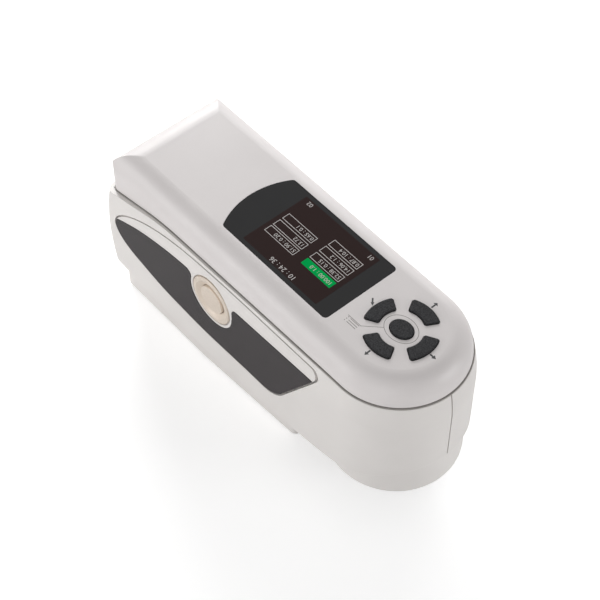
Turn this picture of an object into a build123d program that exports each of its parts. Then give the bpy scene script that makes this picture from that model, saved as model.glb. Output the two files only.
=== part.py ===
from build123d import *
from math import sqrt
import os

# Portable colorimeter, in millimetres.
# +X points to the measuring head, -Y is the side with the test button, +Z is up.
# The origin is the middle of the footprint, on the table.
# A depth is measured down from the crown, a setback forward from the rear end or back from the head's
# axis, and an inset in from the side.

# Housing
body_length = 205.0
body_width = 70.0
body_height = 100.0
shell_wall = 3.0
waist_depth = 28.0
shoulder_depth = 20.4
shoulder_inset = 0.65
rim_inset = 1.9
rear_bow_radius = 110.0
rear_bow_height = 45.0
rear_corner_radius = 6.0
belly_edge_radius = 1.0
seam_gap = 0.6

# Belly, seen from the side
belly_front_height = 42.5
belly_bend_setback = 22.5
belly_bend_height = 24.4
belly_low_setback = 67.5
belly_low_height = 18.2
belly_rear_height = 22.6

# Parting line between the cover and the housing, seen from the side
parting_front_depth = 13.3
parting_head_setback = 7.5
parting_bend_setback = 46.5
parting_bend_depth = 16.5
parting_rear_depth = 27.6
parting_overrun = 2.0
parting_head_radius = 500.0
parting_bend_radius = 120.0
parting_gap = 1.0
tongue_depth = 1.2
tongue_inset = 0.9
tongue_fit = 0.2
seal_reach = 0.45
seal_height = 0.5
seal_fit = 0.05

# Top cover
cover_inset = 2.5
cover_wall = 2.4
crown_edge_run = 10.5
crown_edge_drop = 13.3
cover_setback = 5.5
rear_edge_run = 15.7
rear_edge_drop = 15.6
cover_rear_radius = 6.0

# Display
lens_setback = 23.9
lens_length = 69.0
lens_bow = 6.1
lens_width = 41.8
lens_thickness = 1.2
lens_corner_radius = 2.0
lens_fit = 0.15
tape_thickness = 0.3
tape_inset = 1.0
screen_setback = 33.6
screen_length = 48.96
screen_width = 36.72
screen_margin = 0.6
panel_length = 60.2
panel_width = 42.4
panel_thickness = 2.4
panel_offset_x = -1.0
panel_corner_radius = 0.4
gasket_thickness = 0.6
gasket_width = 1.4

# Keys
pad_offset = 1.3
key_outer_radius = 16.7
key_inner_radius = 10.2
key_span = 59.0
key_corner_radius = 0.9
centre_key_offset = 1.45
centre_key_length = 11.3
centre_key_width = 9.1
key_proud = 0.8
key_edge_radius = 0.35
key_fit = 0.4
key_flange = 0.8
key_flange_thickness = 0.9
key_stop_gap = 0.3
key_travel = 0.7
key_spare = 0.1
stem_radius = 1.5
dome_radius = 2.6
dome_height = 0.35

# Boards
board_thickness = 1.6
board_depth = 5.9
main_board_setback = 17.0
main_board_length = 95.5
main_board_width = 46.6
board_corner_radius = 2.0
board_gap = 1.0
key_board_radius = 22.6
post_radius = 2.4
post_overlap = 0.5
board_post_front_margin = 3.5
board_post_rear_margin = 4.0
board_post_y = 19.4
key_post_front = (16.5, 12.4)
key_post_rear = (-12.5, 19.0)
screw_radius = 1.0
screw_fit = 0.06
screw_length = 4.2
screw_head_radius = 1.9
screw_head_height = 1.3
processor_size = 14.0
processor_pitch = 30.0
processor_height = 1.4

# Side leaf, seen from the side: setback from the rear end and depth below the crown
leaf_tip = (10.0, 46.9)
leaf_crest = [(11.0, 43.0), (14.7, 38.3), (20.3, 33.7), (31.3, 27.6), (51.4, 21.6), (82.8, 18.5), (130.7, 17.7)]
leaf_keel = [(98.0, 64.3), (74.0, 64.9), (58.0, 64.0), (42.0, 62.3), (30.0, 59.6), (18.0, 56.0), (11.6, 51.0)]
grip_rear = (8.5, 45.2)
grip_brow = [(12.1, 42.2), (16.5, 40.1), (30.0, 35.0), (40.4, 32.25), (62.5, 28.5)]

# The leaf's front edge: setback from the head's axis and depth below the crown
leaf_front_top = (10.9, 17.4)
leaf_front_foot = (41.7, 64.0)
leaf_hook_radius = 4.0
leaf_foot_radius = 17.0
grip_top_depth = 28.2
grip_top_rise = 5.75
grip_notch_radius = 14.9
grip_notch_front = 15.2
grip_corner_radius = 3.4
leaf_groove = 0.9
leaf_depth = 2.0
leaf_floor_fit = 0.05
grip_depth = 1.3
grip_proud = 0.3
grip_fit = 0.1

# Test button, on the -Y side
test_setback = 83.9
test_depth = 35.8
bezel_radius = 12.9
bezel_seat_fit = 0.6
bezel_inner_radius = 10.6
bezel_depth = 1.3
bezel_proud = 0.3
bezel_edge_radius = 0.6
button_radius = 7.5
button_fit = 0.3
button_recess = 0.2
button_edge_radius = 0.5
button_flange = 1.5
button_flange_thickness = 1.0
button_stop_gap = 0.3
button_travel = 1.5
button_stem_radius = 2.0
button_stem_length = 0.7
button_spare = 0.1
plunger_radius = 1.8
plunger_height = 1.2
switch_size = 12.0
switch_height = 4.0
switch_board_size = 26.0
switch_post_spread = 10.0
switch_post_radius = 2.2
switch_screw_length = 4.0

# Measuring head
optic_offset = 1.7
collar_inset = 3.2
collar_foot_height = 20.7
collar_top_height = 46.0
collar_wall = 2.4
collar_floor = 3.0
collar_edge_radius = 1.6
collar_fit = 0.4
nose_radius = 13.0
nose_foot_height = 3.4
nose_fit = 0.1
nose_flange_radius = 18.0
nose_flange_thickness = 2.0
nose_edge_radius = 0.8
aperture_radius = 4.0
aperture_land = 1.6
nose_throat_radius = 9.0
ring_height = 14.0
ring_section_radius = 0.9
ring_fit = 0.1
cap_wall = 2.2
cap_height = 19.4
cap_fit = 0.3
cap_floor = 1.5
cap_edge_radius = 1.0
cap_flute_count = 24
cap_flute_radius = 0.5
cap_flute_foot = 2.0
tile_radius = 11.0
tile_thickness = 1.6
sphere_height = 52.0
sphere_radius = 19.0
sphere_wall = 2.0
sphere_flange = 3.5
sphere_flange_thickness = 1.6
neck_wall = 1.8
neck_bore_radius = 8.6
neck_flange_thickness = 1.6
neck_seat = 2.0
light_port_radius = 1.5
head_screw_circle = 15.2
head_screw_count = 3
head_screw_length = 6.0
led_board_height = 29.2
led_board_radius = 19.0
led_board_fit = 0.1
led_count = 8
led_circle = 14.6
led_size = 3.0
led_height = 1.2
barrel_wall = 2.0
barrel_bore_radius = 5.0
barrel_length = 12.0
sensor_board_length = 30.0
sensor_board_width = 26.0
sensor_size = 6.0
sensor_height = 2.0

# Base block with the battery bay
block_setback = 6.0
block_front_setback = 36.5
block_bend_setback = 68.5
block_rear_inset = 4.7
block_front_inset = 7.8
block_corner_radius = 3.0
block_foot_height = 0.8
block_edge = 0.8
block_wall = 2.4
block_fit = 0.1
block_side_wall = 4.2
bay_end_wall = 6.1
bay_wall = 1.4
bay_fit = 0.3
cell_diameter = 18.4
cell_length = 65.0
cell_corner_radius = 0.8
cell_fit = 0.5
cell_seat_gap = 0.3
contact_space = 6.0
contact_size = 12.0
contact_thickness = 0.5
contact_spring_radius = 3.0
contact_gap = 0.3
door_thickness = 2.0
door_recess = 0.4
door_overlap = 2.1
door_rail = 1.5
door_rail_thickness = 1.2
door_fit = 0.3
door_play = 0.1
door_ridge_count = 5
door_ridge_pitch = 2.4
door_ridge_depth = 0.6
foot_radius = 4.0
foot_front_setback = 9.0
foot_front_y = 18.0
rear_foot_radius = 2.6
foot_rear_setback = 7.5
foot_rear_inset = 3.5
foot_sink = 0.8
foot_fit = 0.1
foot_edge_radius = 0.3

# Rear port panel
port_height = 46.0
port_width = 30.0
port_tall = 18.0
port_corner_radius = 2.5
port_recess = 0.9
port_thickness = 1.8
port_fit = 0.2
port_wall = 0.8
port_lip = 2.0
port_lip_thickness = 1.2
jack_y = -9.5
jack_radius = 4.0
jack_bore_radius = 2.8
jack_pin_radius = 0.9
jack_depth = 8.5
jack_body = 8.8
usb_y = 9.5
usb_width = 7.8
usb_tall = 4.0
usb_shell = 0.4
usb_corner_radius = 1.2
usb_depth = 8.0
usb_tongue_width = 5.6
usb_tongue = 1.2
connector_fit = 0.1
knob_width = 3.4
knob_tall = 2.6
knob_proud = 0.7
knob_travel = 3.0
knob_depth = 1.7
knob_edge_radius = 0.3
slot_end_gap = 0.8
slot_side_gap = 0.3
slide_body_wall = 0.6
slide_body_tall = 6.8
slide_body_depth = 5.0
slide_channel_depth = 2.0
port_board_depth = 9.6
port_board_width = 28.0
port_board_tall = 16.0

# Case screws run along Y through bosses that meet at the seam
rear_case_screws = [(30.5, 43.0), (54.5, 58.0)]
head_case_screws = [(49.5, 56.0), (27.5, 26.0)]
case_boss_radius = 4.0
case_screw_radius = 1.4
case_screw_fit = 0.08
case_screw_reach = 9.0
case_head_radius = 2.5
case_head_height = 2.0
case_head_fit = 0.15
boss_sink = 0.8
screw_spare = 0.5

# The ends, the head's axis and a length that is longer than any reach in a cut
front_x = body_length / 2
rear_x = -body_length / 2
head_x = front_x - body_width / 2
reach = body_width


def from_rear(points):
    """Side-view points, X and Z, from setbacks from the rear end and depths below the crown."""
    return [(rear_x + setback, body_height - depth) for setback, depth in points]


def from_head(points):
    """Side-view points, X and Z, from setbacks behind the head's axis and depths below the crown."""
    return [(head_x - setback, body_height - depth) for setback, depth in points]


# Housing and cover
wall_face = body_width / 2
inner_face = wall_face - shell_wall
rim_face = wall_face - rim_inset
shoulder_face = wall_face - shoulder_inset
cover_face = wall_face - cover_inset
crown_face = cover_face - crown_edge_run
waist_height = body_height - waist_depth
shoulder_height = body_height - shoulder_depth
parting_front_height = body_height - parting_front_depth
crown_edge_height = body_height - crown_edge_drop
cover_inside = body_height - cover_wall
belly_bend_x = head_x - belly_bend_setback
belly_low_x = rear_x + belly_low_setback
cover_rear_x = rear_x + cover_setback
crown_rear_x = cover_rear_x + rear_edge_run
rear_edge_height = body_height - rear_edge_drop
rebate_depth = tongue_depth + tongue_fit

# Display and boards
lens_front_x = head_x - lens_setback
lens_rear_x = lens_front_x - lens_length
screen_x = lens_front_x - screen_setback
pocket_floor = body_height - lens_thickness - tape_thickness
panel_top = cover_inside - gasket_thickness
board_top = body_height - board_depth
board_bottom = board_top - board_thickness
main_board_front_x = head_x - main_board_setback
main_board_rear_x = main_board_front_x - main_board_length
key_board_rear_x = main_board_front_x + board_gap
screw_tip = board_bottom + screw_length

# Keys
pad_x = head_x + pad_offset
centre_key_x = head_x + centre_key_offset
key_middle_radius = (key_outer_radius + key_inner_radius) / 2
key_flange_top = cover_inside - key_stop_gap
stem_foot = board_top + dome_height + key_travel + key_spare

# Test button
test_x = rear_x + test_setback
test_z = body_height - test_depth
grip_top_height = body_height - grip_top_depth
boss_end = inner_face - boss_sink + shell_wall - leaf_depth
bezel_face = wall_face + bezel_proud
bezel_seat = wall_face - bezel_depth
button_face = bezel_face - button_recess
button_flange_face = inner_face - button_stop_gap
button_stem_end = button_flange_face - button_flange_thickness - button_stem_length
plunger_end = button_stem_end - button_travel - button_spare
switch_face = plunger_end - plunger_height
switch_board_face = switch_face - switch_height
switch_screw_tip = switch_board_face + switch_screw_length

# Measuring head
optic_x = head_x + optic_offset
head_axis = Axis((head_x, 0, 0), (0, 0, -1))
collar_radius = wall_face - collar_inset
nose_flange_foot = collar_foot_height + collar_floor
nose_top = nose_flange_foot + nose_flange_thickness
ring_centre_radius = nose_radius - ring_section_radius
cap_radius = nose_radius + cap_fit + cap_wall
sphere_top = sphere_height + sphere_radius
sphere_flange_radius = sphere_radius + sphere_flange
neck_radius = neck_bore_radius + neck_wall
neck_seat_radius = neck_radius + neck_seat
barrel_radius = barrel_bore_radius + barrel_wall
sensor_board_foot = sphere_top + barrel_length - sphere_wall
head_screw_tip = nose_top + neck_flange_thickness - head_screw_length

# Base block
block_rear_x = rear_x + block_setback
block_front_x = head_x - block_front_setback
block_bend_x = rear_x + block_bend_setback
block_rear_face = wall_face - block_rear_inset
block_front_face = wall_face - block_front_inset
door_top = block_foot_height + door_recess + door_thickness
cell_foot = door_top + cell_seat_gap
contact_height = cell_foot + cell_diameter / 2
bay_rear_x = block_rear_x + bay_end_wall
bay_front_x = bay_rear_x + cell_length + contact_space * 2
bay_half = cell_diameter + cell_fit
bay_roof_height = cell_foot + cell_diameter + cell_fit
cell_rear_x = bay_rear_x + contact_space
door_half = bay_half + door_overlap
door_front_x = bay_front_x + door_overlap
foot_front_x = block_front_x - foot_front_setback
foot_rear_x = block_rear_x + foot_rear_setback
foot_rear_y = block_rear_face - foot_rear_inset

# Rear ports
port_face_x = rear_x + port_recess
port_back_x = port_face_x + port_thickness
port_board_x = port_back_x + port_board_depth
slot_width = knob_width + knob_travel + slot_end_gap * 2
slot_tall = knob_tall + slot_side_gap * 2
slide_body_width = slot_width + slide_body_wall * 2


def rear_bow(height, inset):
    """X of the housing's bowed rear wall at a height."""
    radius = rear_bow_radius
    return rear_x + inset + radius - sqrt(radius**2 - (height - rear_bow_height) ** 2)


def housing_section(inset, half_only):
    """Cross-section of the housing: straight sides that lean in to the upper rim."""
    with BuildSketch(Plane.YZ.offset(head_x)) as section:
        with BuildLine():
            foot = Line((0, 0), (wall_face - inset, 0))
            side = Line(foot @ 1, (wall_face - inset, waist_height))
            rim = ThreePointArc(
                side @ 1,
                (shoulder_face - inset, shoulder_height),
                (rim_face - inset, parting_front_height),
            )
            top = Polyline(rim @ 1, (rim_face - inset, body_height), (0, body_height))
            Line(top @ 1, foot @ 0)
        make_face()
        if not half_only:
            mirror(about=Plane.YZ)
    return section.sketch


def housing_side(inset):
    """Side view of the housing: bowed rear wall, curved belly, open above."""
    with BuildSketch(Plane.XZ) as view:
        with BuildLine():
            rear = ThreePointArc(
                (rear_bow(body_height, inset), body_height),
                (rear_bow(rear_bow_height, inset), rear_bow_height),
                (rear_bow(belly_rear_height + inset, inset), belly_rear_height + inset),
            )
            belly = ThreePointArc(
                rear @ 1,
                (belly_low_x, belly_low_height + inset),
                (belly_bend_x, belly_bend_height + inset),
            )
            slope = TangentArc(
                belly @ 1,
                (front_x, belly_front_height + inset),
                tangent=belly % 1,
            )
            Polyline(
                slope @ 1,
                (front_x + reach, belly_front_height + inset),
                (front_x + reach, body_height),
                rear @ 0,
            )
        make_face()
    return view.sketch


def housing_envelope(inset):
    """Outer body of the housing, drawn in by inset on every side."""
    with BuildPart() as body:
        extrude(housing_section(inset, False), amount=body_length, dir=(-1, 0, 0))
        revolve(housing_section(inset, True), axis=head_axis, revolution_arc=180)
        extrude(housing_side(inset), amount=reach, both=True, mode=Mode.INTERSECT)
    return body.part


def parting_block(shift):
    """Everything below the parting line, moved up by shift."""
    head = from_head([(-reach * 2, parting_front_depth), (parting_head_setback, parting_front_depth)])
    rear = from_rear([(parting_bend_setback, parting_bend_depth), (-parting_overrun, parting_rear_depth)])
    points = [(x, z + shift) for x, z in head + rear]
    with BuildPart() as block:
        with BuildSketch(Plane.XZ):
            with BuildLine():
                line = FilletPolyline(*points, radius=(parting_head_radius, parting_bend_radius))
                Polyline(line @ 1, (points[-1][0], -reach), (points[0][0], -reach), line @ 0)
            make_face()
        extrude(amount=reach, both=True)
    return block.part


def cover_section(inset, half_only):
    """Cross-section of the cover: upright skirt, a rounded edge and the flat crown."""
    with BuildSketch(Plane.YZ.offset(head_x)) as section:
        with BuildLine():
            skirt = Polyline((0, 0), (cover_face - inset, 0), (cover_face - inset, crown_edge_height))
            edge = EllipticalCenterArc(
                (crown_face, crown_edge_height),
                crown_edge_run - inset,
                crown_edge_drop - inset,
                start_angle=0,
                arc_size=90,
            )
            Polyline(edge @ 1, (0, body_height - inset), skirt @ 0)
        make_face()
        if not half_only:
            mirror(about=Plane.YZ)
    return section.sketch


def cover_side(inset):
    """Side view of the cover: flat crown and a rounded edge that falls to the upright rear."""
    with BuildSketch(Plane.XZ) as view:
        with BuildLine():
            edge = EllipticalCenterArc(
                (crown_rear_x, rear_edge_height),
                rear_edge_run - inset,
                rear_edge_drop - inset,
                start_angle=90,
                arc_size=90,
            )
            Polyline(
                edge @ 1,
                (cover_rear_x + inset, body_height - reach),
                (front_x + reach, body_height - reach),
                (front_x + reach, body_height - inset),
                edge @ 0,
            )
        make_face()
    return view.sketch


def cover_plan(inset):
    """Plan that rounds the cover's rear corners and runs on past the head, drawn in by inset."""
    width = (cover_face - inset) * 2
    radius = cover_rear_radius - inset
    with BuildSketch() as plan:
        with Locations((cover_rear_x + inset, 0)):
            RectangleRounded(body_length + reach, width, radius, align=(Align.MIN, Align.CENTER))
    return plan.sketch


def cover_envelope(inset):
    """Outer body of the cover with its rounded rear corners, drawn in by inset."""
    with BuildPart() as body:
        extrude(cover_section(inset, False), amount=body_length, dir=(-1, 0, 0))
        revolve(cover_section(inset, True), axis=head_axis, revolution_arc=180)
        extrude(cover_side(inset), amount=reach, both=True, mode=Mode.INTERSECT)
        extrude(cover_plan(inset), amount=body_height, mode=Mode.INTERSECT)
    return body.part


def lens_outline(grow):
    """Plan of the display lens: a rectangle whose rear edge bows out."""
    with BuildSketch() as plan:
        half = lens_width / 2
        with BuildLine():
            sides = Polyline(
                (lens_rear_x, -half),
                (lens_front_x, -half),
                (lens_front_x, half),
                (lens_rear_x, half),
            )
            ThreePointArc(sides @ 1, (lens_rear_x - lens_bow, 0), sides @ 0)
        make_face()
        fillet(plan.vertices(), lens_corner_radius)
        if grow:
            offset(amount=grow, mode=Mode.REPLACE)
    return plan.sketch


def screen_outline(margin):
    """Plan of the display's active area with a margin round it."""
    with BuildSketch() as plan:
        with Locations((screen_x, 0)):
            Rectangle(screen_length + 2 * margin, screen_width + 2 * margin)
    return plan.sketch


def arc_key_outline(angle, grow):
    """Plan of one of the four curved keys round the pad."""
    with BuildSketch(Plane((pad_x, 0, 0)).rotated((0, 0, angle))) as plan:
        with BuildLine():
            outer = CenterArc((0, 0), key_outer_radius, -key_span / 2, key_span)
            inner = CenterArc((0, 0), key_inner_radius, -key_span / 2, key_span)
            Line(outer @ 0, inner @ 0)
            Line(outer @ 1, inner @ 1)
        make_face()
        fillet(plan.vertices(), key_corner_radius)
        if grow:
            offset(amount=grow, mode=Mode.REPLACE)
    return plan.sketch


def centre_key_outline(grow):
    """Plan of the oval key in the middle of the pad."""
    with BuildSketch() as plan:
        with Locations((centre_key_x, 0)):
            Ellipse(centre_key_length / 2 + grow, centre_key_width / 2 + grow)
    return plan.sketch


def pushed(points, distance):
    """Points of a side view moved square to their line, to the left of its direction."""
    moved = []
    for before, (x, z), after in zip([points[0]] + points, points, points[1:] + [points[-1]]):
        along_x = after[0] - before[0]
        along_z = after[1] - before[1]
        length = sqrt(along_x**2 + along_z**2)
        moved.append((x - along_z / length * distance, z + along_x / length * distance))
    return moved


def leaf_front(grow):
    """The two front corners of the leaf, with its straight front edge moved out by grow."""
    top, foot = from_head([leaf_front_top, leaf_front_foot])
    slope = (top[0] - foot[0]) / (top[1] - foot[1])
    shift = grow * sqrt(1 + slope**2)
    grown_top = (top[0] + shift + grow * slope, top[1] + grow)
    grown_foot = (foot[0] + shift - grow * slope, foot[1] - grow)
    return grown_top, grown_foot


def leaf_outline(grow):
    """Side view of the leaf-shaped panel, moved out by grow."""
    top, foot = leaf_front(grow)
    tip = from_rear([leaf_tip])[0]
    rear = (tip[0] - grow, tip[1])
    with BuildSketch(Plane.XZ) as view:
        with BuildLine():
            Spline([rear] + pushed(from_rear(leaf_crest), grow) + [top])
            Line(top, foot)
            Spline([foot] + pushed(from_rear(leaf_keel), grow) + [rear])
        make_face()
        fillet(view.vertices().filter_by(lambda v: abs(v.Y - top[1]) < 0.01), leaf_hook_radius)
        fillet(view.vertices().filter_by(lambda v: abs(v.Y - foot[1]) < 0.01), leaf_foot_radius)
    return view.sketch


def grip_outline(notched, grow):
    """Side view of the grip: the leaf below its brow line, with the notch for the test button."""
    top_height = grip_top_height + grow
    notch_front = grip_notch_front - grow
    rear = from_rear([grip_rear])[0]
    with BuildSketch(Plane.XZ) as view:
        add(leaf_outline(grow - grip_fit))
        with BuildLine():
            brow = Spline([rear] + pushed(from_rear(grip_brow), grow) + [(test_x, top_height)])
            Polyline(
                brow @ 1,
                (front_x, top_height + grip_top_rise),
                (front_x, -reach),
                (rear_x, -reach),
                (rear_x, rear[1]),
                brow @ 0,
            )
        make_face(mode=Mode.INTERSECT)
        if notched:
            with Locations((test_x, test_z)):
                Circle(grip_notch_radius - grow, mode=Mode.SUBTRACT)
            with Locations((test_x + notch_front / 2, grip_top_height)):
                Rectangle(notch_front, grip_notch_front, mode=Mode.SUBTRACT)
            near = grip_notch_radius + grip_corner_radius * 2
            tips = view.vertices().filter_by(lambda v: abs(v.X - test_x) < near)
            fillet(tips.filter_by(lambda v: v.Y > top_height - grip_corner_radius * 2), grip_corner_radius)
    return view.sketch


def side_plane(x, z, side):
    """Upright plane through the middle of the body, facing out at a side: -1 is -Y, 1 is +Y."""
    return Plane(origin=(x, 0, z), x_dir=(1, 0, 0), z_dir=(0, side, 0))


def wall_strip(outer_inset, inner_inset):
    """A skin that follows the housing's outer face between two depths."""
    with BuildPart() as strip:
        add(housing_envelope(outer_inset))
        add(housing_envelope(inner_inset), mode=Mode.SUBTRACT)
    return strip.part


def upright(sketch, foot, top, mode=Mode.ADD):
    """A plan sketch run from one height to another, in the part being built."""
    extrude(sketch.moved(Location((0, 0, foot))), amount=top - foot, mode=mode)


def discs(points, radius):
    """Plan of equal discs at the given points."""
    with BuildSketch() as plan:
        with Locations(*points):
            Circle(radius)
    return plan.sketch


def on_head(radius, foot, top, mode=Mode.ADD):
    """A disc on the optical axis of the measuring head, in the part being built."""
    upright(discs([(optic_x, 0)], radius), foot, top, mode)


def around_head(radius, count):
    """Plan points spaced evenly on a circle round the optical axis."""
    spots = [Vector(radius, 0).rotate(Axis.Z, 360 / count * index) for index in range(count)]
    return [(optic_x + spot.X, spot.Y) for spot in spots]


def box_between(low, high, mode=Mode.ADD):
    """A box from its low corner to its high corner, in the part being built."""
    size = [b - a for a, b in zip(low, high)]
    with Locations(Location(low)):
        Box(*size, align=(Align.MIN, Align.MIN, Align.MIN), mode=mode)


def side_cylinder(plane, radius, start, end, mode=Mode.ADD):
    """A cylinder along a plane's normal, between two distances from the plane."""
    with BuildSketch(plane.offset(start)) as disc:
        Circle(radius)
    extrude(disc.sketch, amount=end - start, mode=mode)


switch_spread = (-switch_post_spread, switch_post_spread)
switch_posts = [(test_x + dx, test_z + dz) for dx in switch_spread for dz in switch_spread]
head_screw_points = around_head(head_screw_circle, head_screw_count)
led_points = around_head(led_circle, led_count)
foot_sets = [
    ([(foot_front_x, y) for y in (-foot_front_y, foot_front_y)], foot_radius),
    ([(foot_rear_x, y) for y in (-foot_rear_y, foot_rear_y)], rear_foot_radius),
]
case_screw_points = from_rear(rear_case_screws) + from_head(head_case_screws)
board_post_ends = (main_board_rear_x + board_post_rear_margin, main_board_front_x - board_post_front_margin)
board_posts = [(x, y) for x in board_post_ends for y in (-board_post_y, board_post_y)]
key_posts = [(head_x + x, y * side) for x, y in (key_post_front, key_post_rear) for side in (-1, 1)]
arc_keys = {"key_front": 0, "key_left": 90, "key_rear": 180, "key_right": 270}
dome_points = [(centre_key_x, 0)]
for angle in arc_keys.values():
    dome_point = Vector(key_middle_radius, 0).rotate(Axis.Z, angle) + Vector(pad_x, 0)
    dome_points.append((dome_point.X, dome_point.Y))

port_lip_x = rear_bow(port_height + port_tall / 2 + port_lip, shell_wall) + port_fit

outer_housing = housing_envelope(0)
inner_housing = housing_envelope(shell_wall)

with BuildPart() as tongue_band:
    add(cover_envelope(tongue_inset))
    add(cover_envelope(cover_wall), mode=Mode.SUBTRACT)
    add(parting_block(parting_gap), mode=Mode.INTERSECT)
    add(parting_block(-tongue_depth), mode=Mode.SUBTRACT)

with BuildPart() as top_cover:
    add(cover_envelope(0))
    add(parting_block(parting_gap / 2), mode=Mode.SUBTRACT)
    add(cover_envelope(cover_wall), mode=Mode.SUBTRACT)
    add(tongue_band.part)
    upright(lens_outline(lens_fit), pocket_floor, body_height + 1, Mode.SUBTRACT)
    upright(screen_outline(screen_margin), board_top, body_height, Mode.SUBTRACT)
    upright(centre_key_outline(key_fit), board_top, body_height + 1, Mode.SUBTRACT)
    for angle in arc_keys.values():
        upright(arc_key_outline(angle, key_fit), board_top, body_height + 1, Mode.SUBTRACT)
    upright(discs(board_posts + key_posts, post_radius), board_top, cover_inside + post_overlap)
    upright(discs(board_posts + key_posts, screw_radius + screw_fit), board_top, screw_tip, Mode.SUBTRACT)
top_cover.part.label = "top_cover"
export_step(top_cover.part, "parts/top_cover.step")

with BuildPart() as display_lens:
    upright(lens_outline(0), body_height - lens_thickness, body_height)
display_lens.part.label = "display_lens"
export_step(display_lens.part, "parts/display_lens.step")

with BuildPart() as lens_tape:
    upright(lens_outline(-tape_inset), pocket_floor, pocket_floor + tape_thickness)
    upright(screen_outline(screen_margin), pocket_floor, body_height, Mode.SUBTRACT)
lens_tape.part.label = "lens_tape"
export_step(lens_tape.part, "parts/lens_tape.step")

with BuildPart() as display_gasket:
    upright(screen_outline(gasket_width), panel_top, cover_inside)
    upright(screen_outline(screen_margin), panel_top, cover_inside, Mode.SUBTRACT)
display_gasket.part.label = "display_gasket"
export_step(display_gasket.part, "parts/display_gasket.step")

with BuildPart() as display_panel:
    with BuildSketch(Plane.XY.offset(panel_top - panel_thickness)):
        with Locations((screen_x + panel_offset_x, 0)):
            Rectangle(panel_length, panel_width)
    extrude(amount=panel_thickness)
    fillet(display_panel.edges().filter_by(Axis.Z), panel_corner_radius)
display_panel.part.label = "display_panel"
export_step(display_panel.part, "parts/display_panel.step")

with BuildPart() as main_board:
    with BuildSketch(Plane.XY.offset(board_bottom)):
        with Locations(((main_board_rear_x + main_board_front_x) / 2, 0)):
            RectangleRounded(main_board_front_x - main_board_rear_x, main_board_width, board_corner_radius)
        add(discs(board_posts, screw_radius + screw_fit), mode=Mode.SUBTRACT)
    extrude(amount=board_thickness)
    with BuildSketch(Plane.XY.offset(board_bottom)):
        with GridLocations(processor_pitch, 0, 2, 1):
            Rectangle(processor_size, processor_size)
    extrude(amount=-processor_height)
main_board.part.label = "main_board"
export_step(main_board.part, "parts/main_board.step")

with BuildPart() as key_board:
    with BuildSketch(Plane.XY.offset(board_bottom)):
        with Locations((head_x, 0)):
            Circle(key_board_radius)
        with Locations(((key_board_rear_x + head_x) / 2, 0)):
            Rectangle(head_x - key_board_rear_x, key_board_radius * 2)
        add(discs(key_posts, screw_radius + screw_fit), mode=Mode.SUBTRACT)
        with Locations((key_board_rear_x - reach / 2, 0)):
            Rectangle(reach, reach, mode=Mode.SUBTRACT)
    extrude(amount=board_thickness)
key_board.part.label = "key_board"
export_step(key_board.part, "parts/key_board.step")

with BuildPart() as key_domes:
    upright(discs(dome_points, dome_radius), board_top, board_top + dome_height)
key_domes.part.label = "key_domes"
export_step(key_domes.part, "parts/key_domes.step")

with BuildPart() as board_screws:
    upright(discs(board_posts + key_posts, screw_head_radius), board_bottom - screw_head_height, board_bottom)
    upright(discs(board_posts + key_posts, screw_radius), board_bottom, screw_tip - screw_fit)
board_screws.part.label = "board_screws"
export_step(board_screws.part, "parts/board_screws.step")

with BuildPart() as key_centre:
    upright(centre_key_outline(0), key_flange_top, body_height + key_proud)
    fillet(key_centre.faces().sort_by(Axis.Z)[-1].edges(), key_edge_radius)
    upright(centre_key_outline(key_flange), key_flange_top - key_flange_thickness, key_flange_top)
    upright(discs([(centre_key_x, 0)], stem_radius), stem_foot, key_flange_top)
key_centre.part.label = "key_centre"
export_step(key_centre.part, "parts/key_centre.step")

for name, angle in arc_keys.items():
    stem_point = Vector(key_middle_radius, 0).rotate(Axis.Z, angle) + Vector(pad_x, 0)
    with BuildPart() as arc_key:
        upright(arc_key_outline(angle, 0), key_flange_top, body_height + key_proud)
        fillet(arc_key.faces().sort_by(Axis.Z)[-1].edges(), key_edge_radius)
        upright(arc_key_outline(angle, key_flange), key_flange_top - key_flange_thickness, key_flange_top)
        upright(discs([(stem_point.X, stem_point.Y)], stem_radius), stem_foot, key_flange_top)
    arc_key.part.label = name
    export_step(arc_key.part, f"parts/{name}.step")

seal_foot = seal_fit - parting_gap / 2

with BuildPart() as seal_band:
    with BuildSketch() as seal_plan:
        add(cover_plan(-seal_reach))
        with Locations((head_x, 0)):
            Rectangle(reach * 2, reach * 2, align=(Align.MIN, Align.CENTER), mode=Mode.SUBTRACT)
            Circle(cover_face + seal_reach)
    extrude(seal_plan.sketch, amount=body_height)
    add(cover_envelope(tongue_inset - tongue_fit), mode=Mode.SUBTRACT)
    add(parting_block(seal_foot + seal_height), mode=Mode.INTERSECT)
    add(parting_block(seal_foot), mode=Mode.SUBTRACT)
seal_band.part.label = "case_seal"
export_step(seal_band.part, "parts/case_seal.step")

with BuildPart() as rebate:
    add(cover_envelope(tongue_inset - tongue_fit))
    add(parting_block(-rebate_depth), mode=Mode.SUBTRACT)

with BuildPart() as leaf_pocket:
    extrude(leaf_outline(leaf_groove), amount=reach, both=True)
    add(wall_strip(-1, leaf_depth + leaf_floor_fit), mode=Mode.INTERSECT)

with BuildPart() as port_cut:
    with BuildSketch(Plane.YZ.offset(rear_x - 1)):
        with Locations((0, port_height)):
            RectangleRounded(port_width + port_fit * 2, port_tall + port_fit * 2, port_corner_radius)
    extrude(amount=shell_wall * 3)

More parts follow.
